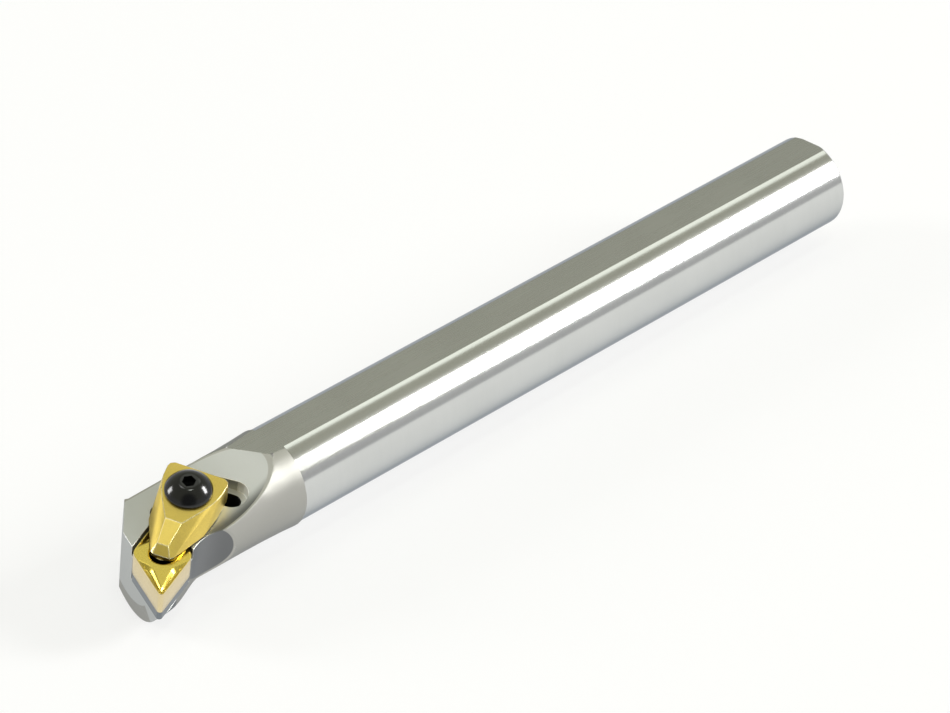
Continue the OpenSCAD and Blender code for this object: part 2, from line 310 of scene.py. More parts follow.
def hex_socket(piece, across, top, depth):
    """Cuts a hexagon socket down from the top, in mm, with a drilled cone at its foot."""
    rim, cone, proud = 0.12, 0.5, 1
    calm()
    bpy.ops.mesh.primitive_cylinder_add(vertices=6, radius=across / 2 / math.cos(math.radians(30)) * MM,
                                        depth=(depth + proud) * MM, location=(0, 0, 0))
    tool = bpy.context.object
    tool.data.transform(turn("Z", 30))
    tool.data.transform(shift(0, 0, top + proud - (depth + proud) / 2))
    open_all(tool)
    bpy.ops.mesh.select_all(action="DESELECT")
    bm = bmesh.from_edit_mesh(tool.data)
    for face in bm.faces:
        face.select = face.normal.z < -0.9
    bmesh.update_edit_mesh(tool.data)
    bpy.ops.mesh.inset(thickness=rim * MM, depth=0)
    bpy.ops.mesh.extrude_region_move(TRANSFORM_OT_translate={"value": (0, 0, -cone * MM)})
    bpy.ops.mesh.merge(type="CENTER")
    close(tool)
    apply(piece, "BOOLEAN", operation="DIFFERENCE", object=tool, solver="EXACT")
    bpy.data.objects.remove(tool)
    return drop_fins(piece)


# ---------------------------------------------------------------- finishes

class Wiring:
    """Node helper for a material or a group."""

    def __init__(self, tree):
        self.tree = tree

    def node(self, kind, **settings):
        made = self.tree.nodes.new(kind)
        for key, value in settings.items():
            setattr(made, key, value)
        return made

    def link(self, a, b):
        self.tree.links.new(a, b)

    def put(self, socket, value):
        if isinstance(value, bpy.types.NodeSocket):
            self.link(value, socket)
        else:
            socket.default_value = value

    def math(self, operation, *values):
        made = self.node("ShaderNodeMath", operation=operation)
        for socket, value in zip(made.inputs, values):
            self.put(socket, value)
        return made.outputs[0]

    def less_one(self, value):
        """One minus the value."""
        return self.math("SUBTRACT", 1.0, value)

    def length(self, a, b):
        return self.math("SQRT", self.math("ADD", self.math("POWER", a, 2.0), self.math("POWER", b, 2.0)))

    def ramp(self, value, low, high, to_low=0.0, to_high=1.0):
        """A smooth rise between two values, level beyond them."""
        made = self.node("ShaderNodeMapRange", interpolation_type="SMOOTHSTEP", clamp=True)
        labels = ("Value", "From Min", "From Max", "To Min", "To Max")
        for label, given in zip(labels, (value, low, high, to_low, to_high)):
            self.put(made.inputs[label], given)
        return made.outputs["Result"]

    def blend(self, share, a, b):
        """Colour a turning into colour b."""
        made = self.node("ShaderNodeMix", data_type="RGBA", blend_type="MIX")
        self.put(made.inputs[0], share)
        self.put(made.inputs[6], a)
        self.put(made.inputs[7], b)
        return made.outputs[2]

    def between(self, share, a, b):
        """Value a turning into value b."""
        made = self.node("ShaderNodeMix", data_type="FLOAT")
        self.put(made.inputs[0], share)
        self.put(made.inputs[2], a)
        self.put(made.inputs[3], b)
        return made.outputs[0]

    def shade(self, colour, amount):
        """A colour multiplied by a value."""
        made = self.node("ShaderNodeVectorMath", operation="SCALE")
        self.put(made.inputs[0], colour)
        self.put(made.inputs["Scale"], amount)
        return made.outputs[0]


def group(name, inputs, output):
    """An empty node group with its inputs and its one value output."""
    tree = bpy.data.node_groups.new(name, "ShaderNodeTree")
    for label, kind, value in inputs:
        made = tree.interface.new_socket(name=label, in_out="INPUT", socket_type=kind)
        if value is not None:
            made.default_value = value
    tree.interface.new_socket(name=output, in_out="OUTPUT", socket_type="NodeSocketFloat")
    wires = Wiring(tree)
    start = wires.node("NodeGroupInput")
    end = wires.node("NodeGroupOutput")
    return tree, wires, start.outputs, end.inputs


def build_grain():
    """Noise stretched along chosen directions: grinding lines, brushing or a blasted surface."""
    tree, w, given, out = group("grain", [
        ("Vector", "NodeSocketVector", None), ("Stretch", "NodeSocketVector", (1, 1, 1)),
        ("Scale", "NodeSocketFloat", 4000.0), ("Detail", "NodeSocketFloat", 3.0)], "Grain")
    stretch = w.node("ShaderNodeVectorMath", operation="MULTIPLY")
    w.link(given["Vector"], stretch.inputs[0])
    w.link(given["Stretch"], stretch.inputs[1])
    noise = w.node("ShaderNodeTexNoise", noise_dimensions="3D")
    w.link(stretch.outputs[0], noise.inputs["Vector"])
    w.link(given["Scale"], noise.inputs["Scale"])
    w.link(given["Detail"], noise.inputs["Detail"])
    noise.inputs["Roughness"].default_value = 0.6
    w.link(noise.outputs[0], out["Grain"])
    return tree


def build_mottle():
    """Slow, soft unevenness of a finish, as a value around one."""
    tree, w, given, out = group("mottle", [
        ("Vector", "NodeSocketVector", None), ("Scale", "NodeSocketFloat", 60.0),
        ("Amount", "NodeSocketFloat", 0.05)], "Value")
    slow = w.node("ShaderNodeTexNoise", noise_dimensions="3D")
    w.link(given["Vector"], slow.inputs["Vector"])
    w.link(given["Scale"], slow.inputs["Scale"])
    slow.inputs["Detail"].default_value = 4
    centred = w.math("SUBTRACT", slow.outputs[0], 0.5)
    w.link(w.math("MULTIPLY_ADD", centred, w.math("MULTIPLY", given["Amount"], 2.0), 1.0), out["Value"])
    return tree


def build_worn_edges():
    """Mask of the edges, where handling has rubbed the finish bright."""
    tree, w, given, out = group("worn_edges", [
        ("Vector", "NodeSocketVector", None), ("Softness", "NodeSocketFloat", 0.35)], "Mask")
    rounded = w.node("ShaderNodeBevel", samples=6)
    rounded.inputs["Radius"].default_value = 0.3 * MM
    true = w.node("ShaderNodeNewGeometry")
    dot = w.node("ShaderNodeVectorMath", operation="DOT_PRODUCT")
    w.link(rounded.outputs[0], dot.inputs[0])
    w.link(true.outputs["Normal"], dot.inputs[1])
    bend = w.less_one(dot.outputs["Value"])
    chips = w.node("ShaderNodeTexNoise", noise_dimensions="3D")
    w.link(given["Vector"], chips.inputs["Vector"])
    chips.inputs["Scale"].default_value = 900
    chips.inputs["Detail"].default_value = 4
    uneven = w.math("MULTIPLY", bend, w.ramp(chips.outputs[0], 0.25, 0.7, 0.3, 1.6))
    w.link(w.ramp(uneven, 0.01, given["Softness"]), out["Mask"])
    return tree


GRAIN = build_grain()
MOTTLE = build_mottle()
WORN = build_worn_edges()


def effect(w, tree, **values):
    """Puts a node group into a material and gives back its value."""
    made = w.node("ShaderNodeGroup", node_tree=tree)
    for key, value in values.items():
        w.put(made.inputs[key], value)
    return made.outputs[0]


def finish_of(name, metallic):
    """A new material: its node helper, the shader's sockets and the Object coordinates."""
    made = bpy.data.materials.new(name)
    made.use_nodes = True
    made.node_tree.nodes.clear()
    w = Wiring(made.node_tree)
    shader = w.node("ShaderNodeBsdfPrincipled")
    shader.inputs["Metallic"].default_value = metallic
    end = w.node("ShaderNodeOutputMaterial")
    w.link(shader.outputs[0], end.inputs[0])
    where = w.node("ShaderNodeTexCoord").outputs["Object"]
    return made, w, shader.inputs, where


def bumped(w, sockets, height, strength, distance):
    made = w.node("ShaderNodeBump")
    made.inputs["Strength"].default_value = strength
    made.inputs["Distance"].default_value = distance
    w.link(height, made.inputs["Height"])
    w.link(made.outputs[0], sockets["Normal"])


def split(w, vector):
    made = w.node("ShaderNodeSeparateXYZ")
    w.link(vector, made.inputs[0])
    return made.outputs


SHANK_TONE = (0.635, 0.645, 0.635, 1)
# the neck's own warm satin tone, darkened further as painted shade
NECK_TONE_AND_SHADE = (0.46, 0.455, 0.425, 1)
WORN_STEEL = (0.8, 0.81, 0.8, 1)
NECK_END, LOWER_MORE, FAR_MORE = 229, 12, 31    # mm: where the neck's tone ends, later below and on the far side, where it is painted shade


def bar_finish(name, head_tone, rear_shade_tone=None):
    """Ground shank with fine rings, flats ground along, neck and head satin; painted shade darkens the head towards
    its rear or towards the cutting point's side, and the neck's darker tone, partly painted shade, reaches further
    on its lower and far sides.
    """
    made, w, s, at = finish_of(name, 1.0)
    x, y, z = split(w, at)

    # where: shank or head, flats, the turned neck, whose darker tone reaches further below and on the far side as
    # painted shade
    off_flat = w.math("ABSOLUTE", w.math("SUBTRACT", w.math("ABSOLUTE", z), FLAT_Z * MM))
    on_flat = w.math("LESS_THAN", off_flat, 0.02 * MM)
    head = w.ramp(x, (NECK_X - 0.1) * MM, (NECK_X + 0.1) * MM)
    head = w.math("MULTIPLY", head, w.less_one(on_flat))
    neck_end = w.math("MULTIPLY_ADD", w.math("LESS_THAN", z, 0.0), LOWER_MORE * MM, NECK_END * MM)
    far_side = w.ramp(w.math("MULTIPLY_ADD", y, 1.1, z), -4 * MM, 0.0, 1.0, 0.0)
    neck_end = w.math("MULTIPLY_ADD", far_side, FAR_MORE * MM, neck_end)
    round_part = w.ramp(w.length(y, z), (NECK_R - 0.05) * MM, (NECK_R + 0.05) * MM)
    neck = w.math("MULTIPLY", round_part, w.math("LESS_THAN", x, neck_end))

    # grain: rings round the shank, lines along the flats, blasted head
    rings = effect(w, GRAIN, Vector=at, Stretch=(1, 0.02, 0.02), Scale=5200.0, Detail=3.0)
    along = effect(w, GRAIN, Vector=at, Stretch=(0.015, 1, 1), Scale=4200.0, Detail=3.0)
    blast = effect(w, GRAIN, Vector=at, Stretch=(1, 1, 1), Scale=5200.0, Detail=2.0)
    surface = w.between(head, w.between(on_flat, rings, along), blast)
    slow = effect(w, MOTTLE, Vector=at, Scale=55.0, Amount=0.06)
    fine = w.ramp(surface, 0.2, 0.8, 0.98, 1.02)

    # colour: painted shade, darker towards the rear on the flank and scallop copy, elsewhere on the head towards
    # the cutting point's side
    if rear_shade_tone:
        shaded_head = w.blend(w.ramp(x, 223 * MM, 234 * MM), rear_shade_tone, head_tone)
    else:
        near_side_shade = w.ramp(y, 7.6 * MM, 10.8 * MM, 0.0, 0.75)
        behind_front = w.ramp(x, 226 * MM, 233 * MM, 1.0, 0.0)
        shaded_head = w.shade(head_tone[:3], w.less_one(w.math("MULTIPLY", near_side_shade, behind_front)))
    tone = w.blend(head, SHANK_TONE, w.blend(neck, shaded_head, NECK_TONE_AND_SHADE))
    tone = w.shade(w.shade(tone, slow), fine)
    worn = effect(w, WORN, Vector=at, Softness=0.3)
    w.link(w.blend(worn, tone, WORN_STEEL), s["Base Color"])

    rough = w.math("ADD", w.ramp(head, 0, 1, 0.14, 0.45), w.ramp(surface, 0.25, 0.75, -0.015, 0.015))
    rough = w.math("ADD", rough, w.math("MULTIPLY", on_flat, 0.14))
    rough = w.math("MULTIPLY", rough, slow)
    w.link(w.math("SUBTRACT", rough, w.math("MULTIPLY", worn, 0.08)), s["Roughness"])
    bumped(w, s, surface, 0.012, 0.02 * MM)
    s["Specular Tint"].default_value = (0.42, 0.45, 0.49, 1)
    return made


def coat_finish(name, colour, bright, rough, grain=6000.0, bump=0.15):
    """Thin gold coating: fine grain, slight unevenness, edges rubbed to the bright colour; its near-black copy
    paints the bore's shadow.
    """
    made, w, s, at = finish_of(name, 1.0)
    grit = effect(w, GRAIN, Vector=at, Stretch=(1, 1, 1), Scale=grain, Detail=3.0)
    slow = effect(w, MOTTLE, Vector=at, Scale=160.0, Amount=0.08)
    worn = effect(w, WORN, Vector=at, Softness=0.3)
    tone = w.shade(w.shade(colour[:3], slow), w.ramp(grit, 0.25, 0.75, 0.9, 1.08))
    w.link(w.blend(worn, tone, bright), s["Base Color"])
    r = w.math("ADD", w.ramp(grit, 0.25, 0.75, rough - 0.06, rough + 0.06), w.math("MULTIPLY", worn, -0.08))
    w.link(w.math("MULTIPLY", r, slow), s["Roughness"])
    bumped(w, s, grit, bump, 0.03 * MM)
    return made


def plain_metal(name, colour, bright, rough, grain, bump, stretch=(1, 1, 1), metallic=1.0, ior=1.5):
    """Ground carbide, drawn wire or black oxide, and steel darkened as painted shade or lightened as painted light:
    directed grain, unevenness, worn edges.
    """
    made, w, s, at = finish_of(name, metallic)
    lines = effect(w, GRAIN, Vector=at, Stretch=stretch, Scale=grain, Detail=3.0)
    slow = effect(w, MOTTLE, Vector=at, Scale=220.0, Amount=0.1)
    worn = effect(w, WORN, Vector=at, Softness=0.45)
    tone = w.shade(w.shade(colour[:3], slow), w.ramp(lines, 0.25, 0.75, 0.92, 1.08))
    w.link(w.blend(w.math("MULTIPLY", worn, 0.7), tone, bright), s["Base Color"])
    w.link(w.math("MULTIPLY", w.ramp(lines, 0.25, 0.75, rough - 0.04, rough + 0.04), slow), s["Roughness"])
    bumped(w, s, lines, bump, 0.02 * MM)
    s["IOR"].default_value = ior
    return made


UPRIGHT = (1, 1, 0.1)    # grain drawn out along Z

BAR_STEEL = bar_finish("bar_steel", (0.61, 0.62, 0.605, 1))
# a darker copy of the bar's steel: painted shade on the flank and scallop, deeper towards the rear
PAINTED_SHADE_STEEL = bar_finish("painted_shade_steel", (0.31, 0.315, 0.32, 1), rear_shade_tone=(0.19, 0.195, 0.2, 1))
INSERT_GOLD = coat_finish("insert_gold", (0.74, 0.58, 0.12, 1), (0.93, 0.82, 0.42, 1), rough=0.26)
FLANK_GOLD = coat_finish("insert_flank_gold", (0.75, 0.63, 0.38, 1), (0.9, 0.82, 0.6, 1), rough=0.3)
# near-black gold for the hole's wall: painted shadow of the clamp's nose
BORE_SHADOW_GOLD = coat_finish("insert_bore_shadow", (0.09, 0.06, 0.015, 1), (0.2, 0.15, 0.05, 1), rough=0.45)
CLAMP_GOLD = coat_finish("clamp_gold", (0.76, 0.58, 0.14, 1), (0.93, 0.82, 0.45, 1),
                         rough=0.34, grain=4200.0, bump=0.3)
CLAMP_EDGE = coat_finish("clamp_edge_gold", (0.87, 0.74, 0.38, 1), (0.94, 0.86, 0.55, 1), rough=0.3, grain=4200.0)
CARBIDE = plain_metal("shim_carbide", (0.2, 0.22, 0.24, 1), (0.34, 0.36, 0.39, 1),
                      rough=0.34, grain=4200.0, bump=0.15, stretch=UPRIGHT)
OXIDE = plain_metal("screw_oxide", (0.003, 0.0033, 0.0036, 1), (0.02, 0.021, 0.022, 1),
                    rough=0.155, grain=5200.0, bump=0.05, metallic=0.0, ior=1.56)
# near-black steel for the slot's pit: painted shade in the recess behind the clamp
PIT_SHADE_STEEL = plain_metal("pit_shade_steel", (0.07, 0.07, 0.062, 1), (0.2, 0.2, 0.19, 1), rough=0.5, grain=3000.0, bump=0.2)
# a much lighter steel for the slot's rear wall: painted light, with a rougher grain
WALL_LIGHT_STEEL = plain_metal("slot_wall_light", (0.93, 0.93, 0.9, 1), (0.95, 0.95, 0.93, 1),
                         rough=0.6, grain=2500.0, bump=0.3, stretch=UPRIGHT)
WIRE = plain_metal("wire_steel", (0.55, 0.56, 0.58, 1), (0.75, 0.76, 0.78, 1), rough=0.26, grain=3000.0, bump=0.1)


def dress(piece, finish):
    """Gives a piece its one finish, in its first material slot."""
    piece.data.materials.clear()
    piece.data.materials.append(finish)
    for face in piece.data.polygons:
        face.material_index = 0
    return piece


# ---------------------------------------------------------------- bar

# the slot behind the clamp, in the clamp's frame: its floor in the CAD model, and the deeper pit of the look
SLOT_FLOOR, SLOT_X, SLOT_MID_Y, SLOT_HALF_Y = -4.0, (-9.2, -3.8), 2.85, 9.0
PIT_FLOOR, PIT_TOP, PIT_X, PIT_Y = -8.0, -1.1, (-9.5, -3.5), (-6.5, 12.5)
REAR_WALL_X = (205, 216)    # in the bar's own frame


def in_slot(point):
    """Whether a point lies on the slot's pit, behind the clamp."""
    spot = into_clamp @ point / MM
    return (PIT_FLOOR - 0.1 < spot.z < PIT_TOP and PIT_X[0] < spot.x < PIT_X[1]
            and PIT_Y[0] < spot.y < PIT_Y[1])


bar = copy_of("bar_body", "bar")
for vert in bar.data.vertices:
    spot = into_clamp @ vert.co
    on_floor = abs(spot.z - SLOT_FLOOR * MM) < 0.05 * MM
    in_width = abs(spot.y - SLOT_MID_Y * MM) < SLOT_HALF_Y * MM
    if on_floor and in_width and SLOT_X[0] * MM < spot.x < SLOT_X[1] * MM:
        spot.z = PIT_FLOOR * MM
        vert.co = CLAMP @ spot
drop_fins(bar, lambda face: in_slot(face.calc_center_median()))
soften(bar, 0.16, 20)
even_shading(bar)
dress(bar, BAR_STEEL)
for finish in (PAINTED_SHADE_STEEL, PIT_SHADE_STEEL, WALL_LIGHT_STEEL):
    bar.data.materials.append(finish)

# the face milled beside the insert, with its frame, and the scallop it runs into
FLANK_OFF, FLANK_TURN = 1.37, 2
SCALLOP_X, SCALLOP_R = 1.1, 12.1
FLANK = SEAT @ turn("Z", POINT_TURN) @ shift(HOLE_X + FLANK_OFF, -IC / 2 / math.cos(HALF), 0)
FLANK = FLANK @ turn("Z", FLANK_TURN - HALF_ANGLE)
into_flank = FLANK.inverted()
for face in bar.data.polygons:
    spot = into_flank @ face.center / MM
    upright = abs((into_flank.to_3x3() @ face.normal).z) < 0.2
    on_flank = spot.x < SCALLOP_X + 0.1 and abs(spot.y) < 0.06
    off_scallop = abs(math.hypot(spot.x - SCALLOP_X, spot.y + SCALLOP_R) - SCALLOP_R)
    on_scallop = spot.x > SCALLOP_X - 0.1 and off_scallop < 0.12
    # the flank and scallop take the darker steel copy, painted shade
    if upright and spot.z < 2 and (on_flank or on_scallop):
        face.material_index = 1
    spot = into_clamp @ face.center / MM
    along = REAR_WALL_X[0] < face.center.x / MM < REAR_WALL_X[1]
    on_rear_wall = along and spot.x < -7 and spot.y > 3 and face.center.z > 0
    # the slot's pit: near-black steel, painted shade
    if in_slot(face.center):
        face.material_index = 2
    # the slot's rear wall: lighter steel, painted light
    elif face.normal.x > 0.5 and on_rear_wall:
        face.material_index = 3
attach(bar, "bar")
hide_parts("bar_body")


# ---------------------------------------------------------------- insert with its pressed chip form

def along_line(start, end, share):
    return start[0] + (end[0] - start[0]) * share, start[1] + (end[1] - start[1]) * share


def rhomb_outline(drawn_in=0.0):
    """Rounded rhomb round its hole, anticlockwise, in mm, the cutting point at -X."""
    nose_steps, blunt_steps, side_steps = 12, 8, 26
    along = (IC / 2 - drawn_in - NOSE_R) / math.sin(HALF)
    across = (IC / 2 - drawn_in - BLUNT_R) / math.cos(HALF)
    t = math.pi / 2 - HALF
    corners = [(along, 0, NOSE_R, -t, t, nose_steps), (0, across, BLUNT_R, t, math.pi - t, blunt_steps),
               (-along, 0, NOSE_R, math.pi - t, math.pi + t, nose_steps),
               (0, -across, BLUNT_R, math.pi + t, 2 * math.pi - t, blunt_steps)]
    arcs = [[(cx + r * math.cos(a0 + (a1 - a0) * i / n), cy + r * math.sin(a0 + (a1 - a0) * i / n))
             for i in range(n + 1)] for cx, cy, r, a0, a1, n in corners]
    points = []
    for arc, following in zip(arcs, arcs[1:] + arcs[:1]):
        points += arc
        points += [along_line(arc[-1], following[0], k / side_steps) for k in range(1, side_steps)]
    return points


# the ridge from the raised middle's blunt side to its tip near the point, one quarter of the insert
RIDGE = [(0.0, 8.4), (1.5, 7.0), (2.3, 6.1), (3.1, 4.95), (3.75, 3.8), (4.35, 2.9), (5.1, 2.35), (6.1, 1.95),
         (7.3, 1.55), (8.6, 1.12), (9.7, 0.76), (10.6, 0.4), (11.1, 0.0)]


def smooth(t):
    t = min(1.0, max(0.0, t))
    return t * t * (3 - 2 * t)


def ramped(t, ease=0.25):
    """Rises from 0 to 1 at an even slope, rounded at both ends."""
    t = min(1.0, max(0.0, t))
    top = 1 / (1 - ease)
    if t < ease:
        return top * t * t / (2 * ease)
    if t > 1 - ease:
        return 1 - top * (1 - t) ** 2 / (2 * ease)
    return top * (t - ease / 2)


def past_ridge(u, v):
    """Distance outside the raised middle of the insert, negative within it."""
    best = 99.0
    for (ax, ay), (bx, by) in zip(RIDGE, RIDGE[1:]):
        dx, dy = bx - ax, by - ay
        t = min(1.0, max(0.0, ((u - ax) * dx + (v - ay) * dy) / (dx * dx + dy * dy)))
        best = min(best, math.hypot(u - ax - t * dx, v - ay - t * dy))
    if u > RIDGE[-1][0]:
        return best
    for (ax, ay), (bx, by) in zip(RIDGE, RIDGE[1:]):
        if ax <= u <= bx:
            limit = ay + (by - ay) * (u - ax) / (bx - ax)
            return best if v > limit else -best
    return best


LAND = 0.14                     # level strip along the cutting edge
GROOVE, FALL_W = 0.88, 0.74     # depth of the chip groove, width of its outer slope
RISE_FROM, RISE_W = -0.46, 1.2  # the inner slope starts inside the ridge and is this wide
KNOB_H, KNOB_X, KNOB_SPREAD = 0.3, 11.5, 0.07


def chip_form(x, y):
    """Height of the insert's top: land, chip groove, curved ridges up to the middle, a knob near the point."""
    u, v = abs(x), abs(y)
    edge = IC / 2 - (u * math.sin(HALF) + v * math.cos(HALF))
    fall = -GROOVE * smooth((edge - LAND) / FALL_W)
    rise = -GROOVE * ramped((past_ridge(u, v) - RISE_FROM) / RISE_W)
    knob = KNOB_H * math.exp(-((u - KNOB_X) ** 2 + v * v) / KNOB_SPREAD)
    return min(0.0, max(fall, rise) + knob)


def insert_rings(rows=52, honed=0.06):
    """Rings from the hole's foot out over the underside, up the flanks, in over the chip form and down the hole."""
    outline = rhomb_outline()
    angles = [math.atan2(y, x) for x, y in outline]

    def circle(r, z):
        return [(r * math.cos(a), r * math.sin(a), z) for a in angles]

    def rhomb(drawn_in, z):
        return [(x, y, z) for x, y in rhomb_outline(drawn_in)]

    low = -INSERT_T
    mouth_r = HOLE_R + 0.95
    mouth = [(mouth_r * math.cos(a), mouth_r * math.sin(a)) for a in angles]
    rings = [circle(HOLE_R, low + 0.9), circle(2.9, low + 0.35), circle(mouth_r, low)]
    for share in (0.485, 0.97):
        rings.append([(*along_line(rim, out, share), low) for rim, out in zip(mouth, outline)])
    rings += [rhomb(0.09, low), rhomb(0.03, low + 0.03), rhomb(0, low + 0.09)]
    rings += [rhomb(0, low * 0.6), rhomb(0, low * 0.3), rhomb(0, -0.06), rhomb(0.018, -0.018), rhomb(honed, 0)]
    for k in range(1, rows + 1):
        share = (k / rows) ** 1.15
        spots = [along_line(out, rim, share) for out, rim in zip(rhomb_outline(honed), mouth)]
        rings.append([(x, y, chip_form(x, y)) for x, y in spots])
    hole = [(3.36, -0.03), (3.2, -0.1), (2.95, -0.26), (2.7, -0.55), (HOLE_R, -0.95), (HOLE_R, -3.2),
            (HOLE_R, low + 0.9)]
    return rings + [circle(r, z) for r, z in hole]


insert = wrapped("cutting_insert", insert_rings())
place(insert, INSERT)
by_angle(insert, 35)
dress(insert, INSERT_GOLD)
insert.data.materials.append(FLANK_GOLD)
insert.data.materials.append(BORE_SHADOW_GOLD)
FLANKS_FROM, BORE_R = 4, 3.25    # distances from the hole's axis: the flanks lie outside, the bore darkened as painted shadow inside
for face in insert.data.polygons:
    spot = into_insert @ face.center / MM
    off_hole = math.hypot(spot.x, spot.y)
    if abs((into_insert.to_3x3() @ face.normal).z) < 0.5 and off_hole > FLANKS_FROM:
        face.material_index = 1
    # the bore's wall: near-black gold, painted shadow
    if off_hole < BORE_R:
        face.material_index = 2
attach(insert, "bar")
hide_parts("insert")


# ---------------------------------------------------------------- shim and its screw

shim = copy_of("shim", "seat_shim")
soften(shim, 0.12, 30)
even_shading(shim)
dress(shim, CARBIDE)
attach(shim, "bar")
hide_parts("shim")

SHIM_THREAD_R, SHIM_SCREW_TOP, SHIM_SCREW_FOOT = 2.45, -0.1, -SHIM_T - 6
countersunk = [(0, SHIM_SCREW_TOP), (2.6, SHIM_SCREW_TOP), (3.85, SHIM_SCREW_TOP), (3.96, -0.14), (3.96, -0.2),
               (2.63, -1.42), (SHIM_THREAD_R, -1.6)]
shim_rings = turned_rings(countersunk, 48)
shim_rings += threaded(SHIM_THREAD_R, depth=0.42, pitch=0.8, z0=-1.7, z1=SHIM_SCREW_FOOT + 0.4, steps=48)
shim_rings += turned_rings([(SHIM_THREAD_R - 0.5, SHIM_SCREW_FOOT), (0, SHIM_SCREW_FOOT)], 48)
shim_screw = wrapped("seat_screw", shim_rings)
hex_socket(shim_screw, 2.5, SHIM_SCREW_TOP, 1.8)
place(shim_screw, INSERT @ shift(0, 0, -INSERT_T))
by_angle(shim_screw, 40)
dress(shim_screw, OXIDE)
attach(shim_screw, "bar")
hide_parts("shim_screw")


# ---------------------------------------------------------------- clamp

PLUG_R, PLUG_BACK, PLUG_SHARE = 2.3, 1.3, 0.5    # look only: the plug is set back and half as wide, below the nose

clamp = copy_of("clamp", "top_clamp")
for vert in clamp.data.vertices:
    spot = into_clamp @ vert.co
    if spot.z < 0.06 * MM and math.hypot(spot.x - REACH * MM, spot.y) < PLUG_R * MM:
        spot.x = (REACH - PLUG_BACK) * MM + (spot.x - REACH * MM) * PLUG_SHARE
        spot.y *= PLUG_SHARE
        vert.co = CLAMP @ spot
crease(clamp)
dress(clamp, CLAMP_GOLD)
clamp.data.materials.append(CLAMP_EDGE)
apply(clamp, "BEVEL", width=0.16 * MM, segments=2, limit_method="WEIGHT", use_clamp_overlap=False,
      material=1)
even_shading(clamp)
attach(clamp, "clamp")
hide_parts("clamp")


# ---------------------------------------------------------------- clamp screw with a domed head

HEAD_R, HEAD_H, RIM_H = 5.8, 3.4, 0.5
CROWN_R = 2.4            # level top round the socket
LIP_R = 2.0              # rounding between crown and dome
SOCKET_ACROSS, SOCKET_DEEP = 3.0, 2.15
SCREW_LONG = 22.0
THREAD_R = 2.95
HEAD_FOOT = 6.02         # height of the head's underside in the screw's frame


def dome_profile(lip_steps=8, dome_steps=18):
    """Profile of the head, from the axis out over lip and dome to the thread's start."""
    drop = (HEAD_R ** 2 - CROWN_R ** 2 + (HEAD_H - RIM_H) ** 2) / (2 * (HEAD_H - RIM_H))
    ball = math.hypot(drop, CROWN_R)
    lip_x = math.sqrt((ball - LIP_R) ** 2 - (drop - LIP_R) ** 2)
    a0 = math.atan2(lip_x, drop - LIP_R)
    a1 = math.asin(min(1, HEAD_R / ball))
    points = [(0, HEAD_H)]
    for i in range(lip_steps):
        a = a0 * i / lip_steps
        points.append((lip_x + LIP_R * math.sin(a), HEAD_H - LIP_R + LIP_R * math.cos(a)))
    for i in range(dome_steps + 1):
        a = a0 + (a1 - a0) * i / dome_steps
        points.append((ball * math.sin(a), HEAD_H - drop + ball * math.cos(a)))
    return points + [(HEAD_R, RIM_H - 0.15), (HEAD_R - 0.03, 0.08), (HEAD_R - 0.14, 0), (4.0, 0),
                     (THREAD_R, 0), (THREAD_R, -0.6)]


screw_rings = turned_rings(dome_profile(), 96)
screw_rings += threaded(THREAD_R, depth=0.58, pitch=1.0, z0=-0.8, z1=-SCREW_LONG + 0.75, steps=96)
screw_rings += turned_rings([(THREAD_R - 0.7, -SCREW_LONG), (0, -SCREW_LONG)], 96)
clamp_screw = wrapped("clamping_screw", screw_rings)
hex_socket(clamp_screw, SOCKET_ACROSS, HEAD_H, SOCKET_DEEP)
place(clamp_screw, SCREW @ shift(0, 0, HEAD_FOOT))
by_angle(clamp_screw, 32)
dress(clamp_screw, OXIDE)
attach(clamp_screw, "clamp_screw")
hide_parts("clamp_screw")


# ---------------------------------------------------------------- spring and washer under the clamp

WASHER_T, OUTER, INNER = 0.48, 0.12, 0.1     # thickness, and the roundings of its outer and inner edges
OUTER_X, INNER_X = 4.28, 3.45                # where those roundings are centred
washer_profile = (corner(OUTER_X, OUTER, OUTER, -90, 0) + corner(OUTER_X, WASHER_T - OUTER, OUTER, 0, 90)
                  + corner(INNER_X, WASHER_T - INNER, INNER, 90, 180) + corner(INNER_X, INNER, INNER, 180, 270)
                  + [(OUTER_X, 0.0)])
washer = wrapped("lift_washer", turned_rings(washer_profile, 72))
place(washer, SCREW @ shift(0, 0, 1.1))
by_angle(washer, 40)
dress(washer, WIRE)
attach(washer, "clamp")
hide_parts("spring_washer")

SPRING_LOW, SPRING_HIGH = -4.58, 1.08
WIRE_R, SPRING_R, TURNS = 0.45, 3.95, 4.5
LEVEL_TURN = 0.4         # share of a turn that lies level at each end


def spring_rings(per_turn=40, section=14):
    """Rings of the wire, its ends ground level."""
    rise = SPRING_HIGH - SPRING_LOW - 2 * WIRE_R
    climb = TURNS - 2 * LEVEL_TURN
    ground = 0.12
    rings = []
    for k in range(int(TURNS * per_turn) + 1):
        t = k / per_turn
        middle = SPRING_LOW + WIRE_R + rise * min(max(t - LEVEL_TURN, 0), climb) / climb
        a = 2 * math.pi * t
        ring = []
        for j in range(section):
            b = 2 * math.pi * j / section
            r = SPRING_R + WIRE_R * math.cos(b)
            z = min(max(middle + WIRE_R * math.sin(b), SPRING_LOW + ground), SPRING_HIGH - ground)
            ring.append((r * math.cos(a), r * math.sin(a), z))
        rings.append(ring)
    return rings


def cap_ends(piece, corners):
    """Closes the open ends of a wire whose section has this many corners."""
    open_all(piece)
    bm = bmesh.from_edit_mesh(piece.data)
    rim = [e for e in bm.edges if e.is_boundary]
    bmesh.ops.holes_fill(bm, edges=rim, sides=corners + 2)
    bmesh.update_edit_mesh(piece.data)
    bpy.ops.mesh.select_all(action="SELECT")
    bpy.ops.mesh.normals_make_consistent(inside=False)
    return close(piece)


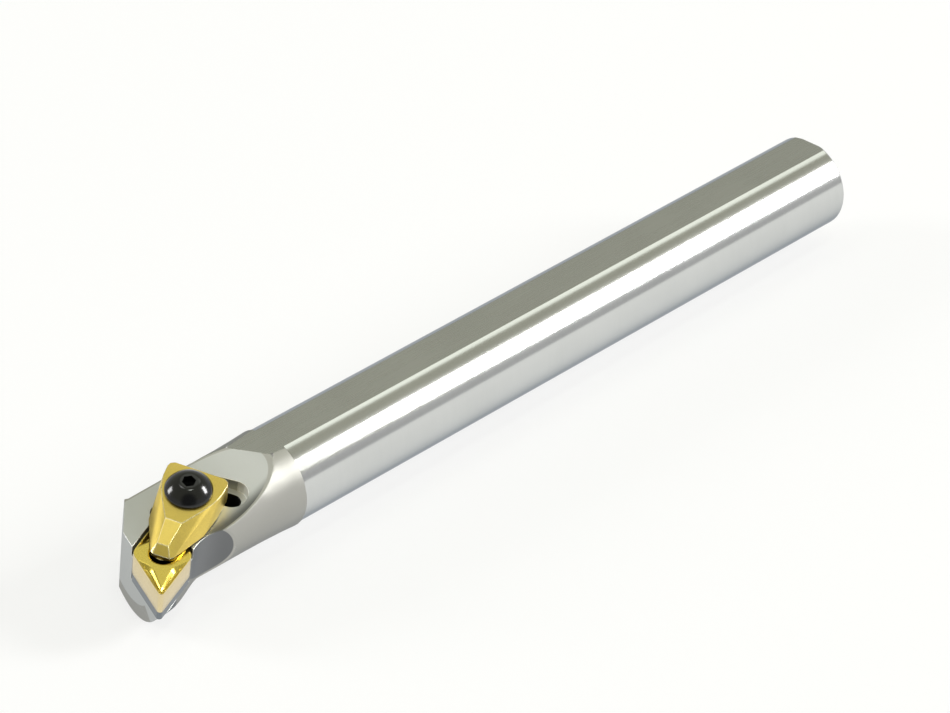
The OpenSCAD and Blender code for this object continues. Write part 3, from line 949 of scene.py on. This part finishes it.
coil = spring_rings()
spring = cap_ends(wrapped("lift_spring", coil), len(coil[0]))
place(spring, SCREW)
by_angle(spring, 50)
dress(spring, WIRE)
low_end = SCREW @ (Vector((0, 0, SPRING_LOW)) * MM)
high_end = SCREW @ (Vector((0, 0, SPRING_HIGH)) * MM)
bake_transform(spring, "bar", "clamp", start=tuple(low_end), end=tuple(high_end))
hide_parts("clamp_spring")


# ---------------------------------------------------------------- floor, tent and lamps

SEEN_GLOW = 0.7          # share of the floor's own light in what the camera and the reflections see


def floor_finish():
    """White round the part, fading to grey further off as a painted falloff of light; clear from below."""
    made = bpy.data.materials.new("pale_floor")
    made.use_nodes = True
    made.node_tree.nodes.clear()
    w = Wiring(made.node_tree)
    at = w.node("ShaderNodeTexCoord").outputs["Object"]
    x, y, z = split(w, at)
    # painted falloff of light: white near the part, turning grey between 0.45 m and 1.15 m from the floor's middle
    tone = w.blend(w.ramp(w.length(x, y), 0.45, 1.15), (1, 1, 1, 1), (0.5, 0.5, 0.5, 1))
    lit = w.node("ShaderNodeBsdfDiffuse")
    w.link(tone, lit.inputs[0])
    glow = w.node("ShaderNodeEmission")
    w.link(tone, glow.inputs[0])
    rays = w.node("ShaderNodeLightPath").outputs
    mirrored = w.math("MAXIMUM", rays["Is Glossy Ray"], rays["Is Transmission Ray"])
    seen = w.math("MAXIMUM", rays["Is Camera Ray"], mirrored)
    mixed = w.node("ShaderNodeMixShader")
    w.link(w.math("MULTIPLY", seen, SEEN_GLOW), mixed.inputs[0])
    w.link(lit.outputs[0], mixed.inputs[1])
    w.link(glow.outputs[0], mixed.inputs[2])
    clear = w.node("ShaderNodeBsdfTransparent")
    under = w.node("ShaderNodeMixShader")
    w.link(w.node("ShaderNodeNewGeometry").outputs["Backfacing"], under.inputs[0])
    w.link(mixed.outputs[0], under.inputs[1])
    w.link(clear.outputs[0], under.inputs[2])
    end = w.node("ShaderNodeOutputMaterial")
    w.link(under.outputs[0], end.inputs[0])
    return made


calm()
bpy.ops.mesh.primitive_plane_add(size=1)
floor = bpy.context.object
floor.name = "floor"
floor.scale = (8, 8, 1)    # metres
bpy.ops.object.transform_apply(location=False, rotation=False, scale=True)
floor.location = (0.125, 0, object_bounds()[0][2] - 0.0003)
floor.data.materials.append(floor_finish())

world = bpy.data.worlds.new("tent")
world.use_nodes = True
world.node_tree.nodes.clear()
scene.world = world
w = Wiring(world.node_tree)
way = w.node("ShaderNodeTexCoord").outputs["Generated"]
height = split(w, way)[2]
# grey walls, a darker roof with a little green in it, and a dark opening on the cutting point's side
tent = w.blend(w.ramp(height, 0.2, 0.34), (0.52, 0.52, 0.52, 1), (0.435, 0.436, 0.356, 1))
open_side = w.node("ShaderNodeVectorMath", operation="DOT_PRODUCT")
w.link(way, open_side.inputs[0])
open_side.inputs[1].default_value = (0.611, 0.728, 0.31)
tent = w.blend(w.ramp(open_side.outputs["Value"], 0.77, 0.94), tent, (0.13, 0.13, 0.135, 1))
sky = w.node("ShaderNodeBackground")
w.link(tent, sky.inputs[0])
sky.inputs[1].default_value = 1
end = w.node("ShaderNodeOutputWorld")
w.link(sky.outputs[0], end.inputs[0])

AIM = Vector((0.15, 0, 0))    # every lamp looks at this point of the bar
COOL_GREEN = (0.96, 1.0, 0.93)


def softbox(name, azimuth, elevation, distance, wide, high, radiance, colour=(1, 1, 1), spin=0.0):
    """An even rectangular lamp, by angles and metres, that the camera does not see."""
    a, e = math.radians(azimuth), math.radians(elevation)
    way = Vector((math.cos(a) * math.cos(e), math.sin(a) * math.cos(e), math.sin(e))).normalized()
    lamp = bpy.data.lights.new(name, "AREA")
    lamp.shape = "RECTANGLE"
    lamp.size = wide
    lamp.size_y = high
    lamp.color = colour
    lamp.energy = radiance * wide * high * math.pi
    made = bpy.data.objects.new(name, lamp)
    scene.collection.objects.link(made)
    made.location = AIM + way * distance
    rolled = Matrix.Rotation(math.radians(spin), 3, "Z").to_quaternion()
    made.rotation_euler = (way.to_track_quat("Z", "Y") @ rolled).to_euler()
    made.visible_camera = False


# name, azimuth, elevation, distance, width, height, radiance
softbox("side_far", 141, 25.5, 4.0, 0.95, 1.55, 23.0, spin=-24)
softbox("side_near", -53, 20.5, 4.0, 1.05, 1.3, 12.0)
softbox("rear_line", 179, 53, 5.0, 1.3, 1.7, 0.95, COOL_GREEN)
softbox("rear_top", 209, 64, 5.0, 1.9, 1.7, 0.55, COOL_GREEN)
softbox("crescent", 75, 71, 2.8, 0.46, 0.3, 17.0, (0.93, 1.0, 0.9))
softbox("overhead", 315, 76, 2.8, 0.7, 0.7, 2.6)
